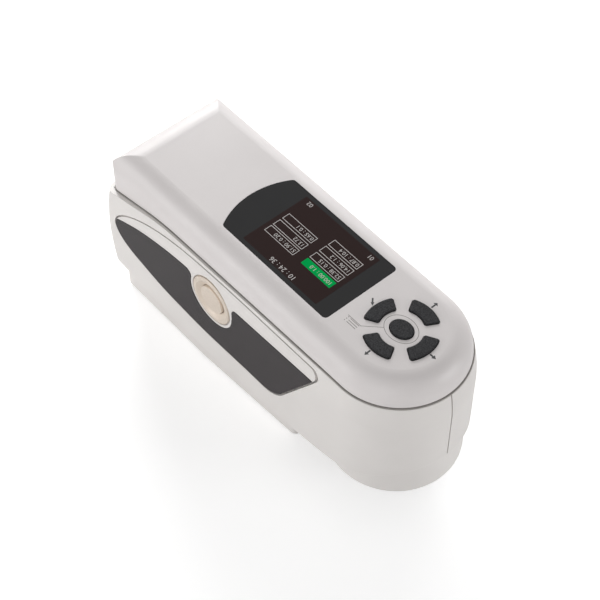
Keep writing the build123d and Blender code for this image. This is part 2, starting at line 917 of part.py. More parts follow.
with BuildPart() as housing:
    add(outer_housing)
    rear_face = housing.faces().sort_by(Axis.X)[0]
    fillet(rear_face.edges().filter_by(lambda e: abs(e.center().Y) > inner_face), rear_corner_radius)
    add(parting_block(-parting_gap / 2), mode=Mode.INTERSECT)
    belly_edges = housing.edges().filter_by(lambda e: e.center().Z < belly_front_height + 1)
    fillet(belly_edges, belly_edge_radius)
    add(inner_housing, mode=Mode.SUBTRACT)
    add(rebate.part, mode=Mode.SUBTRACT)
    add(leaf_pocket.part, mode=Mode.SUBTRACT)
    add(port_cut.part, mode=Mode.SUBTRACT)
    on_head(collar_radius + collar_fit, 0, collar_top_height + collar_fit, Mode.SUBTRACT)
    bay_margin = bay_wall + bay_fit
    box_between(
        (bay_rear_x - bay_margin, -bay_half - bay_margin, 0),
        (bay_front_x + bay_margin, bay_half + bay_margin, bay_roof_height + bay_margin),
        mode=Mode.SUBTRACT,
    )

with BuildPart() as housing_left:
    add(housing.part)
    split(bisect_by=Plane.XZ.offset(seam_gap / 2), keep=Keep.TOP)
    for x, z in case_screw_points:
        plane = side_plane(x, z, -1)
        side_cylinder(plane, case_boss_radius, seam_gap / 2, boss_end)
        pilot_end = case_screw_reach + screw_spare
        side_cylinder(plane, case_screw_radius + case_screw_fit, 0, pilot_end, Mode.SUBTRACT)
    for x, z in switch_posts:
        plane = side_plane(x, z, -1)
        side_cylinder(plane, switch_post_radius, switch_board_face, boss_end)
        pilot_end = switch_screw_tip + screw_fit
        side_cylinder(plane, screw_radius + screw_fit, switch_board_face, pilot_end, Mode.SUBTRACT)
    plane = side_plane(test_x, test_z, -1)
    side_cylinder(plane, button_radius + button_fit, boss_end - shell_wall, wall_face, Mode.SUBTRACT)
housing_left.part.label = "housing_left"
export_step(housing_left.part, "parts/housing_left.step")

with BuildPart() as housing_right:
    add(housing.part)
    split(bisect_by=Plane.XZ.offset(-seam_gap / 2), keep=Keep.BOTTOM)
    for x, z in case_screw_points:
        plane = side_plane(x, z, 1)
        side_cylinder(plane, case_boss_radius, seam_gap / 2, boss_end)
        side_cylinder(plane, case_screw_radius + case_screw_fit, 0, case_screw_reach, Mode.SUBTRACT)
        side_cylinder(plane, case_head_radius + case_head_fit, case_screw_reach, wall_face, Mode.SUBTRACT)
housing_right.part.label = "housing_right"
export_step(housing_right.part, "parts/housing_right.step")

with BuildPart() as case_screws:
    for x, z in case_screw_points:
        plane = side_plane(x, z, 1)
        side_cylinder(plane, case_screw_radius, -case_screw_reach, case_screw_reach)
        side_cylinder(plane, case_head_radius, case_screw_reach, case_screw_reach + case_head_height)
case_screws.part.label = "case_screws"
export_step(case_screws.part, "parts/case_screws.step")

leaf_skin = wall_strip(0, leaf_depth)
grip_skin = wall_strip(-grip_proud, grip_depth - leaf_floor_fit)
grip_pocket_skin = wall_strip(-1, grip_depth)

with BuildPart() as grip_pocket_left:
    extrude(grip_outline(True, grip_fit), amount=reach)
    add(grip_pocket_skin, mode=Mode.INTERSECT)

with BuildPart() as side_panel_left:
    extrude(leaf_outline(0), amount=reach)
    add(leaf_skin, mode=Mode.INTERSECT)
    add(grip_pocket_left.part, mode=Mode.SUBTRACT)
    plane = side_plane(test_x, test_z, -1)
    side_cylinder(plane, bezel_radius + bezel_seat_fit, bezel_seat, wall_face + 1, Mode.SUBTRACT)
    side_cylinder(plane, button_radius + button_fit, inner_face, wall_face, Mode.SUBTRACT)
side_panel_left.part.label = "side_panel_left"
export_step(side_panel_left.part, "parts/side_panel_left.step")

with BuildPart() as grip_pocket_right:
    extrude(grip_outline(False, grip_fit), amount=-reach)
    add(grip_pocket_skin, mode=Mode.INTERSECT)

with BuildPart() as side_panel_right:
    extrude(leaf_outline(0), amount=-reach)
    add(leaf_skin, mode=Mode.INTERSECT)
    add(grip_pocket_right.part, mode=Mode.SUBTRACT)
side_panel_right.part.label = "side_panel_right"
export_step(side_panel_right.part, "parts/side_panel_right.step")

with BuildPart() as grip_left:
    extrude(grip_outline(True, 0), amount=reach)
    add(grip_skin, mode=Mode.INTERSECT)
grip_left.part.label = "grip_left"
export_step(grip_left.part, "parts/grip_left.step")

with BuildPart() as grip_right:
    extrude(grip_outline(False, 0), amount=-reach)
    add(grip_skin, mode=Mode.INTERSECT)
grip_right.part.label = "grip_right"
export_step(grip_right.part, "parts/grip_right.step")

test_plane = side_plane(test_x, test_z, -1)

with BuildPart() as test_bezel:
    side_cylinder(test_plane, bezel_radius, bezel_seat, bezel_face)
    fillet(test_bezel.faces().sort_by(Axis.Y)[0].edges(), bezel_edge_radius)
    with BuildSketch(test_plane.offset(bezel_seat)) as cone_foot:
        Circle(button_radius + button_fit)
    with BuildSketch(test_plane.offset(bezel_face)) as cone_top:
        Circle(bezel_inner_radius)
    loft([cone_foot.sketch.face(), cone_top.sketch.face()], mode=Mode.SUBTRACT)
test_bezel.part.label = "test_bezel"
export_step(test_bezel.part, "parts/test_bezel.step")

with BuildPart() as test_button:
    side_cylinder(test_plane, button_radius, button_flange_face, button_face)
    fillet(test_button.faces().sort_by(Axis.Y)[0].edges(), button_edge_radius)
    flange_start = button_flange_face - button_flange_thickness
    side_cylinder(test_plane, button_radius + button_flange, flange_start, button_flange_face)
    side_cylinder(test_plane, button_stem_radius, button_stem_end, button_flange_face)
test_button.part.label = "test_button"
export_step(test_button.part, "parts/test_button.step")

with BuildPart() as test_switch:
    with BuildSketch(test_plane.offset(switch_board_face)):
        Rectangle(switch_size, switch_size)
    extrude(amount=switch_height)
    side_cylinder(test_plane, plunger_radius, switch_face, plunger_end)
test_switch.part.label = "test_switch"
export_step(test_switch.part, "parts/test_switch.step")

with BuildPart() as switch_board:
    with BuildSketch(test_plane.offset(switch_board_face)):
        RectangleRounded(switch_board_size, switch_board_size, board_corner_radius)
        with GridLocations(switch_post_spread * 2, switch_post_spread * 2, 2, 2):
            Circle(screw_radius + screw_fit, mode=Mode.SUBTRACT)
    extrude(amount=-board_thickness)
switch_board.part.label = "switch_board"
export_step(switch_board.part, "parts/switch_board.step")

with BuildPart() as switch_screws:
    for x, z in switch_posts:
        plane = side_plane(x, z, -1)
        head_end = switch_board_face - board_thickness
        side_cylinder(plane, screw_head_radius, head_end - screw_head_height, head_end)
        side_cylinder(plane, screw_radius, head_end, switch_screw_tip)
switch_screws.part.label = "switch_screws"
export_step(switch_screws.part, "parts/switch_screws.step")

with BuildPart() as head_collar:
    on_head(collar_radius, collar_foot_height, collar_top_height)
    fillet(head_collar.faces().sort_by(Axis.Z)[0].edges(), collar_edge_radius)
    on_head(collar_radius - collar_wall, nose_flange_foot, collar_top_height, Mode.SUBTRACT)
    on_head(nose_radius + nose_fit, 0, collar_top_height, Mode.SUBTRACT)
    pilot_foot = head_screw_tip - screw_fit
    upright(discs(head_screw_points, screw_radius + screw_fit), pilot_foot, nose_flange_foot, Mode.SUBTRACT)
head_collar.part.label = "head_collar"
export_step(head_collar.part, "parts/head_collar.step")

with BuildPart() as measuring_nose:
    on_head(nose_radius, nose_foot_height, nose_flange_foot)
    fillet(measuring_nose.faces().sort_by(Axis.Z)[0].edges(), nose_edge_radius)
    on_head(nose_flange_radius, nose_flange_foot, nose_top)
    on_head(aperture_radius, 0, nose_top, Mode.SUBTRACT)
    with BuildSketch(Plane((optic_x, 0, nose_foot_height + aperture_land))) as cone_foot:
        Circle(aperture_radius)
    with BuildSketch(Plane((optic_x, 0, nose_top))) as cone_top:
        Circle(nose_throat_radius)
    loft([cone_foot.sketch.face(), cone_top.sketch.face()], mode=Mode.SUBTRACT)
    upright(discs(head_screw_points, screw_radius + screw_fit), nose_flange_foot, nose_top, Mode.SUBTRACT)
    with BuildSketch(Plane.XY.offset(ring_height)) as groove:
        with Locations((optic_x, 0)):
            Circle(nose_radius)
            Circle(ring_centre_radius - ring_section_radius - ring_fit, mode=Mode.SUBTRACT)
    extrude(groove.sketch, amount=ring_section_radius + ring_fit, both=True, mode=Mode.SUBTRACT)
measuring_nose.part.label = "measuring_nose"
export_step(measuring_nose.part, "parts/measuring_nose.step")

with BuildPart() as nose_ring:
    with Locations((optic_x, 0, ring_height)):
        Torus(ring_centre_radius, ring_section_radius)
nose_ring.part.label = "nose_ring"
export_step(nose_ring.part, "parts/nose_ring.step")

with BuildPart() as calibration_cap:
    on_head(cap_radius, 0, cap_height)
    fillet(calibration_cap.faces().sort_by(Axis.Z)[0].edges(), cap_edge_radius)
    on_head(nose_radius + cap_fit, cap_floor, cap_height, Mode.SUBTRACT)
    with BuildSketch(Plane.XY.offset(cap_flute_foot)) as flutes:
        with Locations((optic_x, 0)):
            with PolarLocations(cap_radius, cap_flute_count):
                Circle(cap_flute_radius)
    extrude(flutes.sketch, amount=cap_height, mode=Mode.SUBTRACT)
calibration_cap.part.label = "calibration_cap"
export_step(calibration_cap.part, "parts/calibration_cap.step")

with BuildPart() as white_tile:
    on_head(tile_radius, cap_floor, cap_floor + tile_thickness)
white_tile.part.label = "white_tile"
export_step(white_tile.part, "parts/white_tile.step")

sphere_place = Location((optic_x, 0, sphere_height))

with BuildPart() as sphere_lower:
    with Locations(sphere_place):
        Sphere(sphere_radius)
    flange_foot = sphere_height - sphere_flange_thickness
    on_head(sphere_flange_radius, flange_foot, sphere_height)
    on_head(neck_radius, nose_top, sphere_height)
    on_head(neck_seat_radius, nose_top, led_board_height)
    on_head(nose_flange_radius, nose_top, nose_top + neck_flange_thickness)
    with Locations(sphere_place):
        Sphere(sphere_radius - sphere_wall, mode=Mode.SUBTRACT)
    on_head(neck_bore_radius, nose_top, sphere_height, Mode.SUBTRACT)
    upright(discs(led_points, light_port_radius), led_board_height, sphere_height, Mode.SUBTRACT)
    upright(discs(head_screw_points, screw_radius + screw_fit), 0, led_board_height, Mode.SUBTRACT)
    on_head(sphere_flange_radius + 1, sphere_height, sphere_top + 1, Mode.SUBTRACT)
sphere_lower.part.label = "sphere_lower"
export_step(sphere_lower.part, "parts/sphere_lower.step")

with BuildPart() as sphere_upper:
    with Locations(sphere_place):
        Sphere(sphere_radius)
    flange_top = sphere_height + sphere_flange_thickness
    on_head(sphere_flange_radius, sphere_height, flange_top)
    on_head(barrel_radius, sphere_height, sensor_board_foot)
    with Locations(sphere_place):
        Sphere(sphere_radius - sphere_wall, mode=Mode.SUBTRACT)
    on_head(barrel_bore_radius, sphere_height, sensor_board_foot, Mode.SUBTRACT)
    on_head(sphere_flange_radius + 1, 0, sphere_height, Mode.SUBTRACT)
sphere_upper.part.label = "sphere_upper"
export_step(sphere_upper.part, "parts/sphere_upper.step")

with BuildPart() as led_board:
    board_face = led_board_height + board_thickness
    on_head(led_board_radius, led_board_height, board_face)
    on_head(neck_radius + led_board_fit, led_board_height, board_face, Mode.SUBTRACT)
    with BuildSketch(Plane.XY.offset(board_face)):
        with Locations((optic_x, 0)):
            with PolarLocations(led_circle, led_count):
                Rectangle(led_size, led_size)
    extrude(amount=led_height)
led_board.part.label = "led_board"
export_step(led_board.part, "parts/led_board.step")

with BuildPart() as head_screws:
    head_foot = nose_top + neck_flange_thickness
    upright(discs(head_screw_points, screw_head_radius), head_foot, head_foot + screw_head_height)
    upright(discs(head_screw_points, screw_radius), head_screw_tip, head_foot)
head_screws.part.label = "head_screws"
export_step(head_screws.part, "parts/head_screws.step")

with BuildPart() as sensor_board:
    with BuildSketch(Plane.XY.offset(sensor_board_foot)):
        with Locations((optic_x, 0)):
            RectangleRounded(sensor_board_length, sensor_board_width, board_corner_radius)
    extrude(amount=board_thickness)
    with BuildSketch(Plane.XY.offset(sensor_board_foot)):
        with Locations((optic_x, 0)):
            Rectangle(sensor_size, sensor_size)
    extrude(amount=-sensor_height)
sensor_board.part.label = "sensor_board"
export_step(sensor_board.part, "parts/sensor_board.step")

with BuildPart() as base_block:
    with BuildSketch(Plane.XY.offset(block_foot_height)) as block_plan:
        with BuildLine():
            Polyline(
                (block_rear_x, -block_rear_face),
                (block_bend_x, -block_rear_face),
                (block_front_x, -block_front_face),
                (block_front_x, block_front_face),
                (block_bend_x, block_rear_face),
                (block_rear_x, block_rear_face),
                (block_rear_x, -block_rear_face),
            )
        make_face()
        fillet(block_plan.vertices().filter_by(lambda v: abs(v.X - block_bend_x) > 1), block_corner_radius)
    extrude(amount=collar_top_height - block_foot_height)
    chamfer(base_block.faces().sort_by(Axis.Z)[0].edges(), block_edge)
    add(housing_envelope(-block_fit), mode=Mode.SUBTRACT)
    hollow_half = block_front_face - block_side_wall
    box_between(
        (bay_front_x + bay_end_wall, -hollow_half, block_foot_height + block_wall),
        (block_front_x - block_wall, hollow_half, collar_top_height),
        mode=Mode.SUBTRACT,
    )
    box_between(
        (bay_rear_x - bay_wall, -bay_half - bay_wall, cell_foot),
        (bay_front_x + bay_wall, bay_half + bay_wall, bay_roof_height + bay_wall),
    )
    box_between((bay_rear_x, -bay_half, 0), (bay_front_x, bay_half, bay_roof_height), mode=Mode.SUBTRACT)
    box_between(
        (block_rear_x - 1, -door_half - door_fit, 0),
        (door_front_x + door_fit, door_half + door_fit, door_top + door_play),
        mode=Mode.SUBTRACT,
    )
    box_between(
        (block_rear_x - 1, -door_half - door_rail - door_fit, door_top - door_rail_thickness - door_play),
        (door_front_x + door_fit, door_half + door_rail + door_fit, door_top + door_play),
        mode=Mode.SUBTRACT,
    )
    for points, radius in foot_sets:
        upright(discs(points, radius + foot_fit), 0, block_foot_height + foot_sink, Mode.SUBTRACT)
base_block.part.label = "base_block"
export_step(base_block.part, "parts/base_block.step")

with BuildPart() as battery:
    with BuildSketch(Plane.YZ.offset(cell_rear_x)):
        with Locations((0, contact_height)):
            SlotOverall(cell_diameter * 2, cell_diameter)
    extrude(amount=cell_length)
    fillet(battery.edges().group_by(Axis.X)[0] + battery.edges().group_by(Axis.X)[-1], cell_corner_radius)
battery.part.label = "battery"
export_step(battery.part, "parts/battery.step")

contact_places = [(bay_rear_x, cell_rear_x, 1), (bay_front_x, cell_rear_x + cell_length, -1)]

with BuildPart() as battery_contacts:
    for wall_x, cell_x, direction in contact_places:
        for y in (-cell_diameter / 2, cell_diameter / 2):
            with BuildSketch(Plane.YZ.offset(wall_x)) as plate:
                with Locations((y, contact_height)):
                    Rectangle(contact_size, contact_size)
            extrude(plate.sketch, amount=contact_thickness * direction)
            with BuildSketch(Plane.YZ.offset(wall_x)) as spring:
                with Locations((y, contact_height)):
                    Circle(contact_spring_radius)
            extrude(spring.sketch, amount=cell_x - wall_x - contact_gap * direction)
battery_contacts.part.label = "battery_contacts"
export_step(battery_contacts.part, "parts/battery_contacts.step")

with BuildPart() as battery_door:
    door_foot = block_foot_height + door_recess
    box_between((block_rear_x, -door_half, door_foot), (door_front_x, door_half, door_top))
    rail_foot = door_top - door_rail_thickness
    rail_half = door_half + door_rail
    box_between((block_rear_x, -rail_half, rail_foot), (door_front_x, rail_half, door_top))
    for index in range(door_ridge_count):
        ridge_x = block_rear_x + door_ridge_pitch * (index + 1)
        box_between(
            (ridge_x, -door_half + door_ridge_pitch, 0),
            (ridge_x + door_ridge_pitch / 2, door_half - door_ridge_pitch, door_foot + door_ridge_depth),
            mode=Mode.SUBTRACT,
        )
battery_door.part.label = "battery_door"
export_step(battery_door.part, "parts/battery_door.step")

with BuildPart() as rubber_feet:
    for points, radius in foot_sets:
        upright(discs(points, radius), 0, block_foot_height + foot_sink)
    fillet(rubber_feet.edges().group_by(Axis.Z)[0], foot_edge_radius)
rubber_feet.part.label = "rubber_feet"
export_step(rubber_feet.part, "parts/rubber_feet.step")

with BuildPart() as port_panel:
    with BuildSketch(Plane.YZ.offset(port_face_x)):
        with Locations((0, port_height)):
            RectangleRounded(port_width, port_tall, port_corner_radius)
    extrude(amount=port_lip_x - port_face_x)
    with BuildSketch(Plane.YZ.offset(port_lip_x)):
        with Locations((0, port_height)):
            RectangleRounded(port_width + port_lip * 2, port_tall + port_lip * 2, port_corner_radius)
    extrude(amount=port_lip_thickness)
    with BuildSketch(Plane.YZ.offset(port_back_x)):
        with Locations((0, port_height)):
            Rectangle(port_width - port_wall * 2, port_tall - port_wall * 2)
    extrude(amount=shell_wall * 2, mode=Mode.SUBTRACT)
    with BuildSketch(Plane.YZ.offset(port_face_x)):
        with Locations((jack_y, port_height)):
            Circle(jack_radius + connector_fit)
        with Locations((usb_y, port_height)):
            grow = connector_fit * 2
            RectangleRounded(usb_width + grow, usb_tall + grow, usb_corner_radius + connector_fit)
        with Locations((0, port_height)):
            Rectangle(slot_width, slot_tall)
    extrude(amount=port_thickness, mode=Mode.SUBTRACT)
port_panel.part.label = "port_panel"
export_step(port_panel.part, "parts/port_panel.step")

with BuildPart() as dc_jack:
    with BuildSketch(Plane.YZ.offset(port_face_x)):
        with Locations((jack_y, port_height)):
            Circle(jack_radius)
    extrude(amount=port_thickness)
    with BuildSketch(Plane.YZ.offset(port_back_x)):
        with Locations((jack_y, port_height)):
            Rectangle(jack_body, jack_body)
    extrude(amount=port_board_depth)
    with BuildSketch(Plane.YZ.offset(port_face_x)):
        with Locations((jack_y, port_height)):
            Circle(jack_bore_radius)
            Circle(jack_pin_radius, mode=Mode.SUBTRACT)
    extrude(amount=jack_depth, mode=Mode.SUBTRACT)
dc_jack.part.label = "dc_jack"
export_step(dc_jack.part, "parts/dc_jack.step")

with BuildPart() as usb_port:
    with BuildSketch(Plane.YZ.offset(port_face_x)):
        with Locations((usb_y, port_height)):
            RectangleRounded(usb_width, usb_tall, usb_corner_radius)
    extrude(amount=port_board_x - port_face_x)
    with BuildSketch(Plane.YZ.offset(port_face_x)):
        with Locations((usb_y, port_height)):
            shrink = usb_shell * 2
            RectangleRounded(usb_width - shrink, usb_tall - shrink, usb_corner_radius - usb_shell)
            Rectangle(usb_tongue_width, usb_tongue, mode=Mode.SUBTRACT)
    extrude(amount=usb_depth, mode=Mode.SUBTRACT)
usb_port.part.label = "usb_port"
export_step(usb_port.part, "parts/usb_port.step")

with BuildPart() as power_switch:
    with BuildSketch(Plane.YZ.offset(port_back_x)):
        with Locations((0, port_height)):
            Rectangle(slide_body_width, slide_body_tall)
    extrude(amount=slide_body_depth)
    with BuildSketch(Plane.YZ.offset(port_back_x)):
        with Locations((0, port_height)):
            Rectangle(slot_width, slot_tall)
    extrude(amount=slide_channel_depth, mode=Mode.SUBTRACT)
power_switch.part.label = "power_switch"
export_step(power_switch.part, "parts/power_switch.step")

with BuildPart() as switch_knob:
    with BuildSketch(Plane.YZ.offset(port_back_x + knob_depth)):
        with Locations((-knob_travel / 2, port_height)):
            Rectangle(knob_width, knob_tall)
    extrude(amount=port_face_x - knob_proud - port_back_x - knob_depth)
    fillet(switch_knob.faces().sort_by(Axis.X)[0].edges(), knob_edge_radius)
switch_knob.part.label = "switch_knob"
export_step(switch_knob.part, "parts/switch_knob.step")

with BuildPart() as port_board:
    with BuildSketch(Plane.YZ.offset(port_board_x)):
        with Locations((0, port_height)):
            RectangleRounded(port_board_width, port_board_tall, board_corner_radius)
    extrude(amount=board_thickness)
port_board.part.label = "port_board"
export_step(port_board.part, "parts/port_board.step")
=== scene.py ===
import math

import bpy
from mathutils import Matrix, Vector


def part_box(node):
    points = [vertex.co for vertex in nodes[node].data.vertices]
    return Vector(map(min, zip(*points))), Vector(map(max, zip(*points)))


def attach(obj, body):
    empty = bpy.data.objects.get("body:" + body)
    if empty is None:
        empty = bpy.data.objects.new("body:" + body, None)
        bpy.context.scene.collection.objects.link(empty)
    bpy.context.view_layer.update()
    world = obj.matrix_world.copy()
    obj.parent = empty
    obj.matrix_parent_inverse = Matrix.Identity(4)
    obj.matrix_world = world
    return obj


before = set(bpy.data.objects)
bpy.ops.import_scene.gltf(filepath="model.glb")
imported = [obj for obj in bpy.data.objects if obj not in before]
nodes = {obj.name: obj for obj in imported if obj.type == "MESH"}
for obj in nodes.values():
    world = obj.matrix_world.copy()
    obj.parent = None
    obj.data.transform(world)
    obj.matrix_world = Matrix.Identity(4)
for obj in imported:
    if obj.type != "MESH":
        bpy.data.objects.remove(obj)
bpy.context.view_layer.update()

# A handheld colorimeter. Places are written in millimetres and made metres by mm().
# +X points to the measuring head, -Y is the side with the test button, +Z is up.
scene = bpy.context.scene


def mm(*values):
    """Millimetres as metres: one number, or a tuple of them."""
    metres = tuple(value / 1000 for value in values)
    return metres[0] if len(metres) == 1 else metres


# Camera and light
camera_data = bpy.data.cameras.new("camera")
camera_data.lens = 98.567
camera_data.sensor_width = 36
camera = bpy.data.objects.new("camera", camera_data)
camera.location = (0.3579, -0.3049, 0.6549)
camera.rotation_euler = (math.radians(38.01), 0, math.radians(49.34))
scene.collection.objects.link(camera)
scene.camera = camera
scene.view_settings.view_transform = "Standard"


def add_node(owner, kind, settings=None, links=None):
    """A shader node in this material or world, with its settings made and its inputs linked."""
    node = owner.node_tree.nodes.new(kind)
    for name, value in (settings or {}).items():
        if isinstance(name, str) and hasattr(node, name):
            setattr(node, name, value)
        else:
            node.inputs[name].default_value = value
    for name, source in (links or {}).items():
        owner.node_tree.links.new(source, node.inputs[name])
    return node


def linear(code):
    """An sRGB hex code as the linear colour that a shader takes."""
    parts = [int(code[i : i + 2], 16) / 255 for i in (1, 3, 5)]
    return [p / 12.92 if p <= 0.04045 else ((p + 0.055) / 1.055) ** 2.4 for p in parts] + [1]


lamp_distance = 1.3
lamp_size = 0.5
lamp_aim_height = 0.06


def soft_box(name, height_angle, round_angle, watts):
    """A square lamp on a ball round the object, at these angles in degrees, facing its middle."""
    lamp_data = bpy.data.lights.new(name, "AREA")
    lamp_data.size = lamp_size
    lamp_data.energy = watts
    lamp = bpy.data.objects.new(name, lamp_data)
    up = math.radians(height_angle)
    around = math.radians(round_angle)
    reach = math.cos(up) * lamp_distance
    lamp.location = (
        reach * math.cos(around),
        reach * math.sin(around),
        lamp_aim_height + math.sin(up) * lamp_distance,
    )
    lamp.rotation_euler = (math.pi / 2 - up, 0, around + math.pi / 2)
    scene.collection.objects.link(lamp)


for lamp_settings in (
    ("front_right_low", 11, 30, 5.0),
    ("left_low", 11, 240, 4.9),
    ("front_left_low", 11, 300, 2.6),
    ("side_high", 42, 270, 1.5),
    ("rear_low", 11, 150, 1.8),
    ("rear_middle", 18, 150, 4.6),
    ("rear_high", 28, 150, 5.2),
    ("far_side_middle", 18, 120, 1.7),
    ("far_side_high", 28, 120, 1.9),
):
    soft_box(*lamp_settings)

# The room: weak even light on the object, and a white backdrop for all that looks at it
room = bpy.data.worlds.new("room")
room.use_nodes = True
room.node_tree.nodes.clear()
ray = add_node(room, "ShaderNodeLightPath")
seen = ray.outputs["Is Camera Ray"]
for other_ray in ("Is Glossy Ray", "Is Transmission Ray"):
    larger = add_node(
        room,
        "ShaderNodeMath",
        {"operation": "MAXIMUM"},
        {0: seen, 1: ray.outputs[other_ray]},
    )
    seen = larger.outputs[0]
white = linear("#FFFFFF")
soft_light = add_node(room, "ShaderNodeBackground", {"Color": white, "Strength": 0.3})
backdrop = add_node(room, "ShaderNodeBackground", {"Color": white, "Strength": 1.0})
either = add_node(
    room,
    "ShaderNodeMixShader",
    links={0: seen, 1: soft_light.outputs[0], 2: backdrop.outputs[0]},
)
add_node(room, "ShaderNodeOutputWorld", links={"Surface": either.outputs[0]})
scene.world = room


# Materials
def surface(name, settings):
    """A material with its shader, and the object coordinates for its patterns."""
    material = bpy.data.materials.new(name)
    material.use_nodes = True
    material.node_tree.nodes.clear()
    shader = add_node(material, "ShaderNodeBsdfPrincipled", settings)
    add_node(material, "ShaderNodeOutputMaterial", links={"Surface": shader.outputs[0]})
    place = add_node(material, "ShaderNodeTexCoord").outputs["Object"]
    return material, shader, place


def grain(material, place, size, detail=2.0, roughness=0.5):
    """Noise whose lumps are about this many millimetres across."""
    noise = add_node(
        material,
        "ShaderNodeTexNoise",
        {"Scale": 1000 / size, "Detail": detail, "Roughness": roughness},
        {"Vector": place},
    )
    return noise.outputs[0]


def between(material, source, low, high, start=0.25, end=0.75):
    """A pattern's value spread from low to high."""
    spread = add_node(
        material,
        "ShaderNodeMapRange",
        {"From Min": start, "From Max": end, "To Min": low, "To Max": high},
        {"Value": source},
    )
    return spread.outputs[0]


def cells(material, place, size):
    """How far each place is from the middle of its cell, in cells of this many millimetres."""
    cell = add_node(material, "ShaderNodeTexVoronoi", {"Scale": 1000 / size}, {"Vector": place})
    return cell.outputs["Distance"]


def checks(material, place, size, first, second):
    """Squares this many millimetres wide, in turn of two colours."""
    return add_node(
        material,
        "ShaderNodeTexChecker",
        {"Scale": 1000 / size, "Color1": linear(first), "Color2": linear(second)},
        {"Vector": place},
    )


def link(material, source, shader, socket):
    """Feeds a pattern to one socket of the shader."""
    material.node_tree.links.new(source, shader.inputs[socket])


def tint(material, shader, pattern, dark, light, start=0.25, end=0.75):
    """Base colour between two hex codes, by a pattern."""
    mix = add_node(
        material,
        "ShaderNodeMix",
        {"data_type": "RGBA", 6: linear(dark), 7: linear(light)},
        {0: between(material, pattern, 0, 1, start, end)},
    )
    link(material, mix.outputs[2], shader, "Base Color")


def roughen(material, shader, pattern, low, high):
    """Roughness between two values, by a pattern."""
    link(material, between(material, pattern, low, high), shader, "Roughness")


def relief(material, shader, height, depth):
    """A pattern as relief this many millimetres deep."""
    settings = {"Strength": 1.0, "Distance": mm(depth)}
    bump = add_node(material, "ShaderNodeBump", settings, {"Height": height})
    link(material, bump.outputs[0], shader, "Normal")


def satin_lacquer(name, dark, light):
    """ABS moulding sprayed with satin lacquer: an even soft sheen, with faint orange peel."""
    material, shader, place = surface(name, {"IOR": 1.5})
    cloud = grain(material, place, 26.0, 3.0)
    tint(material, shader, cloud, dark, light)
    peel = grain(material, place, 1.3)
    roughen(material, shader, peel, 0.40, 0.47)
    relief(material, shader, peel, 0.012)
    return material


def champagne_lacquer():
    """Pearl lacquer in champagne: mica flakes of about 0.1 mm, drawn at 0.3 mm to show."""
    settings = {"IOR": 1.5, "Metallic": 0.15, "Roughness": 0.38}
    material, shader, place = surface("champagne_lacquer", settings)
    flakes = cells(material, place, 0.3)
    tint(material, shader, flakes, "#D2C4B5", "#DED1C3", 0.1, 0.8)
    relief(material, shader, grain(material, place, 1.2), 0.008)
    return material


def grip_moulding():
    """Thermoplastic rubber from a tool etched with diagonal ribs: dull, with fine lines."""
    rib_pitch = 1.0
    rib_tilt = math.radians(38)
    settings = {"IOR": 1.5, "Roughness": 0.6, "Specular IOR Level": 0.15}
    material, shader, place = surface("grip_moulding", settings)
    turned = add_node(
        material, "ShaderNodeMapping", {"Rotation": (0, rib_tilt, 0)}, {"Vector": place}
    )
    # A wave of scale 1 repeats every tau / 20 metres.
    bands = {
        "wave_type": "BANDS",
        "bands_direction": "X",
        "Scale": math.tau / 20 / mm(rib_pitch),
        "Distortion": 0.0,
    }
    wave = add_node(material, "ShaderNodeTexWave", bands, {"Vector": turned.outputs[0]})
    ribs = wave.outputs["Fac"]
    tint(material, shader, ribs, "#262425", "#565253", 0, 1)
    speckled = add_node(
        material,
        "ShaderNodeMath",
        {"operation": "MULTIPLY_ADD", 1: 0.25},
        {0: grain(material, place, 0.35), 2: ribs},
    )
    relief(material, shader, speckled.outputs[0], 0.12)
    return material


def smoked_acrylic():
    """Cast acrylic, black behind, with a coat that takes off a third of its mirror image."""
    material, shader, place = surface("smoked_acrylic", {"IOR": 1.49, "Specular IOR Level": 0.35})
    smear = grain(material, place, 9.0, 3.0)
    roughen(material, shader, smear, 0.07, 0.12)
    tint(material, shader, smear, "#08080A", "#0C0C0E")
    return material


panel_dot = 0.306  # twice the real dot, so that the grid shows


def lit_panel():
    """The lit colour panel behind its window: a dark ground that glows faintly brown."""
    settings = {"IOR": 1.49, "Roughness": 0.1, "Specular IOR Level": 0.1}
    material, shader, place = surface("lit_panel", settings)
    dots = checks(material, place, panel_dot, "#30211F", "#2A1D1C")
    link(material, dots.outputs["Color"], shader, "Base Color")
    return material


def lit_mark(name, dark, light):
    """Lit dots of the panel: an even tone with a trace of the grid."""
    material, shader, place = surface(name, {"Roughness": 0.2, "Specular IOR Level": 0.0})
    dots = checks(material, place, panel_dot, dark, light)
    link(material, dots.outputs["Color"], shader, "Base Color")
    return material


def silicone_rubber():
    """Moulded silicone, nearly black and dull: a grain of 0.2 mm, drawn at 0.55 mm to show."""
    settings = {"IOR": 1.42, "Roughness": 0.7, "Specular IOR Level": 0.25}
    material, shader, place = surface("silicone_rubber", settings)
    pits = grain(material, place, 0.55, 3.0, 0.6)
    tint(material, shader, pits, "#0C0C0E", "#38383A", 0.35, 0.65)
    relief(material, shader, pits, 0.12)
    return material


def grained_abs(name, dark, light, roughness=0.5):
    """Moulded ABS from an etched tool: fine matt grain of 0.1 mm, drawn at 0.4 mm to show."""
    material, shader, place = surface(name, {"IOR": 1.53, "Roughness": roughness})
    etch = grain(material, place, 0.4, 3.0)
    tint(material, shader, etch, dark, light)
    relief(material, shader, etch, 0.03)
    return material


def glazed_ceramic():
    """Fired white tile with a clear glaze: bright, smooth, with a few faint pin specks."""
    material, shader, place = surface("glazed_ceramic", {"IOR": 1.52, "Roughness": 0.08})
    specks = grain(material, place, 0.8, 4.0)
    tint(material, shader, specks, "#ECEBE6", "#F4F3EE")
    relief(material, shader, grain(material, place, 3.0), 0.01)
    return material


